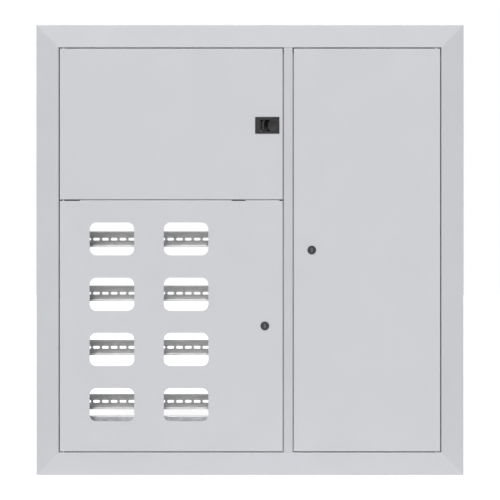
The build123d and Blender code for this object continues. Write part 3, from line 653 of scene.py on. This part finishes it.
def add_piece(name, body, slot_name, template, places, finish=None):
    """One visible piece made of a template at every place, riding on a body of the frame."""
    corners = [vertex.co.copy() for vertex in template.verts]
    template.verts.index_update()
    faces = [[vertex.index for vertex in face.verts] for face in template.faces]
    points = []
    sides = []
    for spot in places:
        first = len(points)
        points.extend(spot @ corner for corner in corners)
        sides.extend([first + index for index in face] for face in faces)
    mesh = bpy.data.meshes.new(name)
    mesh.from_pydata(points, [], sides)
    mesh.shade_smooth()
    mesh.set_sharp_from_angle(angle=math.radians(SHARP_ANGLE))
    piece = bpy.data.objects.new(name, mesh)
    bpy.context.scene.collection.objects.link(piece)
    mesh.materials.append(materials[finish or slot_name])
    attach(piece, body)
    return piece


# Detail pieces

def pan_head_screw(radius, height, shank, length):
    """Round head with a cross recess over a threaded shank."""
    reach = radius * CROSS_REACH
    low_reach = reach * CROSS_LOW_SHARE
    recess = loft([
        flat_section(cross_outline(low_reach, low_reach, CROSS_HALF_LOW, CROSS_HALF_LOW),
                     height * CROSS_FLOOR),
        flat_section(cross_outline(reach, reach, CROSS_HALF, CROSS_HALF), height + CUT_MARGIN),
    ])
    screw = carved(domed(radius, height, PAN_HEAD_CURVE), recess)
    return add_turned(screw, thread_profile(shank, THREAD_DEPTH, -length, 0))


def slotted_screw(radius, height, shank, length, knurl=0.0):
    """Flat head with a driver slot, smooth or knurled, over a threaded shank."""
    chamfer = SLOT_HEAD_CHAMFER
    head = loft([
        round_section(radius - chamfer, 0),
        round_section(radius, chamfer, notch=knurl),
        round_section(radius, height - chamfer, notch=knurl),
        round_section(radius - chamfer, height),
    ])
    groove_outline = box_outline(radius + DRIVER_SLOT_OVERRUN, DRIVER_SLOT_HALF)
    groove = loft([
        flat_section(groove_outline, height - DRIVER_SLOT_DEPTH),
        flat_section(groove_outline, height + CUT_MARGIN),
    ])
    return add_turned(carved(head, groove), thread_profile(shank, THREAD_DEPTH, -length, 0))


def screw_places(node, height):
    """Seats of a node's front screws, whose heads have a height; each stops at its own angle."""
    places = []
    for index, (low, high) in enumerate(islands(node)):
        seat = Vector(((low.x + high.x) / 2, low.y + height * MM, (low.z + high.z) / 2))
        places.append(place(seat, TO_FRONT, index * SCREW_TURN))
    return places


def make_rail_screw_detail():
    """Cross recess screws at the rail ends."""
    template = pan_head_screw(RAIL_SCREW_HEAD, RAIL_SCREW_HEIGHT, SCREW_SHANK, RAIL_SCREW_LENGTH)
    places = screw_places("rail_screws", RAIL_SCREW_HEIGHT)
    piece = add_piece("rail_screw_detail", "root", "bright_steel", template, places)
    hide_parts("rail_screws")


def make_cover_screw_detail():
    """Knurled hand screws of the inner cover."""
    template = slotted_screw(COVER_SCREW_HEAD, COVER_SCREW_HEIGHT, SCREW_SHANK, COVER_SCREW_LENGTH,
                             KNURL_DEPTH)
    places = screw_places("cover_screws", COVER_SCREW_HEIGHT)
    piece = add_piece("cover_screw_detail", "root", "bright_steel", template, places)
    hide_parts("cover_screws")


def make_terminal_screws():
    """A clamping screw over every wire hole of the two brass bars, and one through each end."""
    clamp = slotted_screw(CLAMP_HEAD, CLAMP_HEIGHT, CLAMP_SHANK, CLAMP_LENGTH)
    fixing = pan_head_screw(BAR_FIXING_HEAD, BAR_FIXING_HEIGHT, CLAMP_SHANK, BAR_FIXING_LENGTH)
    clamps = []
    fixings = []
    for node in ("neutral_bar", "earth_bar"):
        low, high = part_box(node)
        middle = (low + high) / 2
        pitch = (high.x - low.x) / (BAR_HOLES + 1)
        for index in range(BAR_HOLES):
            x = middle.x + (index - (BAR_HOLES - 1) / 2) * pitch
            clamps.append(place(Vector((x, middle.y, high.z)), TO_TOP, index * SCREW_TURN))
        for side in (-1, 1):
            x = middle.x + side * (high.x - low.x - BAR_HOLDER_WIDTH * MM) / 2
            fixings.append(place(Vector((x, middle.y, high.z)), TO_TOP, side * SCREW_TURN))
    add_piece("terminal_clamp_screws", "root", "bright_steel", clamp, clamps)
    add_piece("terminal_bar_fixings", "root", "bright_steel", fixing, fixings)


def earth_stud():
    """Threaded stud with a washer and a chamfered hexagonal nut."""
    thread = thread_profile(STUD_RADIUS, THREAD_DEPTH, 0, STUD_LENGTH - STUD_TIP)
    stud = add_turned(bmesh.new(), thread + [(STUD_RADIUS - 2 * THREAD_DEPTH, STUD_LENGTH)])
    add_turned(stud, [(STUD_WASHER_RADIUS, 0), (STUD_WASHER_RADIUS, STUD_WASHER)])
    corner = STUD_NUT_WIDTH / math.sqrt(3)
    return add_turned(stud, [
        (corner - NUT_CHAMFER, STUD_WASHER),
        (corner, STUD_WASHER + NUT_CHAMFER),
        (corner, STUD_NUT_TOP - NUT_CHAMFER),
        (corner - NUT_CHAMFER, STUD_NUT_TOP),
    ], HEX_SIDES)


def make_earth_stud_detail():
    """A stud on the inside of each side wall."""
    places = []
    for low, high in islands("earth_studs"):
        middle = (low + high) / 2
        from_left = middle.x < 0
        wall = low.x if from_left else high.x
        facing = TO_RIGHT if from_left else TO_LEFT
        places.append(place(Vector((wall, middle.y, middle.z)), facing, SCREW_TURN))
    piece = add_piece("earth_stud_detail", "root", "bright_steel", earth_stud(), places)
    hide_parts("earth_studs")


def make_buffer_detail():
    """Domed rubber buffers on the stops."""
    boxes = islands("door_buffers")
    low, high = boxes[0]
    template = domed((high.x - low.x) / 2 / MM, (high.y - low.y) / MM, BUFFER_CURVE)
    places = [place(Vector(((low.x + high.x) / 2, high.y, (low.z + high.z) / 2)), TO_FRONT)
              for low, high in boxes]
    piece = add_piece("door_buffer_detail", "root", "rubber", template, places)
    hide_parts("door_buffers")


def bar_holder(size):
    """Insulating foot with two grooves round it and a chamfered top."""
    curve = [(0, 0)]
    for start in HOLDER_GROOVES:
        curve.extend((inset, start + rise) for inset, rise in GROOVE_CURVE)
    curve.extend(HOLDER_TOP)
    return loft([
        flat_section(box_outline(size.x / 2 - inset, size.y / 2 - inset), size.z * rise)
        for inset, rise in curve
    ])


def make_holder_detail():
    """Feet under the ends of the two brass bars."""
    boxes = islands("bar_holders")
    low, high = boxes[0]
    template = bar_holder((high - low) / MM)
    places = [place(Vector(((low.x + high.x) / 2, (low.y + high.y) / 2, low.z)), TO_TOP)
              for low, high in boxes]
    piece = add_piece("bar_holder_detail", "root", "bar_plastic", template, places)
    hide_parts("bar_holders")


def dust_shutter():
    """Slit plate over a keyway, with the wafers behind it."""
    wide = slot_outline(SHUTTER_HALF_WIDTH, SHUTTER_HALF_HEIGHT)
    narrow = slot_outline(SHUTTER_HALF_WIDTH - SHUTTER_EDGE, SHUTTER_HALF_HEIGHT - SHUTTER_EDGE)
    plate = loft([
        flat_section(wide, 0),
        flat_section(wide, SHUTTER_THICKNESS - SHUTTER_EDGE),
        flat_section(narrow, SHUTTER_THICKNESS),
    ])
    slit_outline = box_outline(SHUTTER_SLIT_HALF, KEYWAY_HALF_HEIGHT)
    slit = loft([
        flat_section(slit_outline, -CUT_MARGIN),
        flat_section(slit_outline, SHUTTER_THICKNESS + CUT_MARGIN),
    ])
    shutter = carved(plate, slit)
    wafer = cross_outline(*WAFER_CROSS)
    for start in WAFER_DEPTHS:
        add_loft(shutter, [flat_section(wafer, -start - WAFER_THICKNESS), flat_section(wafer, -start)])
    return shutter


def barrel_thread(length):
    """Thread round a lock's barrel, from close to its end up to the nut."""
    inner = BARREL_RADIUS - BARREL_THREAD
    outside = thread_profile(BARREL_RADIUS + BARREL_THREAD, BARREL_THREAD, BARREL_BARE, length)
    return tube(outside + [(inner, length), (inner, BARREL_BARE)])


def make_lock_details():
    """A dust shutter on the plug of each lock, and the thread of its barrel."""
    shutter = dust_shutter()
    for lock, door in (("lower_lock", "lower_door"), ("right_lock", "right_door")):
        nut_low, nut_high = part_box(lock + "_nut")
        middle = (nut_low + nut_high) / 2
        plug_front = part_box(lock + "_plug")[0].y
        barrel_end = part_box(lock + "_body")[1].y
        front = place(Vector((middle.x, plug_front, middle.z)), TO_FRONT)
        add_piece(lock + "_shutter", lock, "lock_zinc", shutter, [front], "lock_shutter")
        thread = barrel_thread((barrel_end - nut_high.y) / MM)
        back = place(Vector((middle.x, barrel_end, middle.z)), TO_FRONT)
        add_piece(lock + "_thread", door, "lock_zinc", thread, [back])


# Surroundings

def larger(tree, first, second):
    """The larger one of two values."""
    node = tree.nodes.new("ShaderNodeMath")
    node.operation = "MAXIMUM"
    tree.links.new(first, node.inputs[0])
    tree.links.new(second, node.inputs[1])
    return node.outputs["Value"]


def seen_directly(tree):
    """One for a ray from the camera, off a gloss or through glass, zero for any other."""
    path = tree.nodes.new("ShaderNodeLightPath")
    either = larger(tree, path.outputs["Is Camera Ray"], path.outputs["Is Glossy Ray"])
    return larger(tree, either, path.outputs["Is Transmission Ray"])


def white_light(tree, strength):
    """White light of the world at one strength."""
    node = tree.nodes.new("ShaderNodeBackground")
    node.inputs["Color"].default_value = (1, 1, 1, 1)
    node.inputs["Strength"].default_value = strength
    return node.outputs["Background"]


def make_world():
    """White where it is seen directly, and a plain level of light elsewhere."""
    world = bpy.data.worlds.new("studio")
    bpy.context.scene.world = world
    world.use_nodes = True
    tree = world.node_tree
    tree.nodes.clear()
    mix = tree.nodes.new("ShaderNodeMixShader")
    tree.links.new(seen_directly(tree), mix.inputs["Fac"])
    tree.links.new(white_light(tree, AMBIENT_LIGHT), mix.inputs[1])
    tree.links.new(white_light(tree, 1.0), mix.inputs[2])
    output = tree.nodes.new("ShaderNodeOutputWorld")
    tree.links.new(mix.outputs["Shader"], output.inputs["Surface"])


def make_floor():
    """Pale floor just under the board, white where it is seen apart from the board's shadow."""
    bpy.ops.mesh.primitive_plane_add(size=FLOOR_SIZE, location=(0, 0, cad_low.z - FLOOR_GAP * MM))
    floor = bpy.context.object
    floor.name = "studio_floor"
    finish = Finish("studio_floor", FLOOR, FLOOR_ROUGHNESS)
    glow = finish.add("ShaderNodeEmission")
    glow.inputs["Color"].default_value = (FLOOR_GLOW, FLOOR_GLOW, FLOOR_GLOW, 1)
    finish.link(seen_directly(finish.tree), glow.inputs["Strength"])
    total = finish.add("ShaderNodeAddShader")
    finish.link(finish.shader.outputs["BSDF"], total.inputs[0])
    finish.link(glow.outputs["Emission"], total.inputs[1])
    finish.link(total.outputs["Shader"], finish.output.inputs["Surface"])
    floor.data.materials.append(finish.material)


def soft_light(name, azimuth, elevation, strength, spread):
    """Even light from one side of the board; the azimuth turns right from the front."""
    lamp = bpy.data.lights.new(name, "SUN")
    lamp.energy = strength
    lamp.angle = math.radians(spread)
    holder = bpy.data.objects.new(name, lamp)
    holder.rotation_euler = (math.radians(90 - elevation), 0, math.radians(azimuth))
    bpy.context.scene.collection.objects.link(holder)


def make_lights():
    soft_light("key_light", *KEY_LIGHT)
    soft_light("side_light", *SIDE_LIGHT)
    soft_light("rear_light", *REAR_LIGHT)


def make_camera():
    camera = bpy.data.cameras.new("camera")
    camera.sensor_width = SENSOR_WIDTH
    camera.lens = SENSOR_WIDTH * CAMERA_DISTANCE / PHOTO_WIDTH_AT_FRONT
    holder = bpy.data.objects.new("camera", camera)
    holder.location = (0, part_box("lower_door")[0].y - CAMERA_DISTANCE, 0)
    holder.rotation_euler = (math.radians(90), 0, 0)
    bpy.context.scene.collection.objects.link(holder)
    bpy.context.scene.camera = holder


def set_view():
    bpy.context.scene.view_settings.view_transform = "Standard"


make_camera()
make_world()
make_floor()
make_lights()
set_view()
materials = make_materials()
dress_cad_nodes(materials)
make_rail_screw_detail()
make_cover_screw_detail()
make_terminal_screws()
make_earth_stud_detail()
make_buffer_detail()
make_holder_detail()
make_lock_details()

bpy.context.view_layer.update()
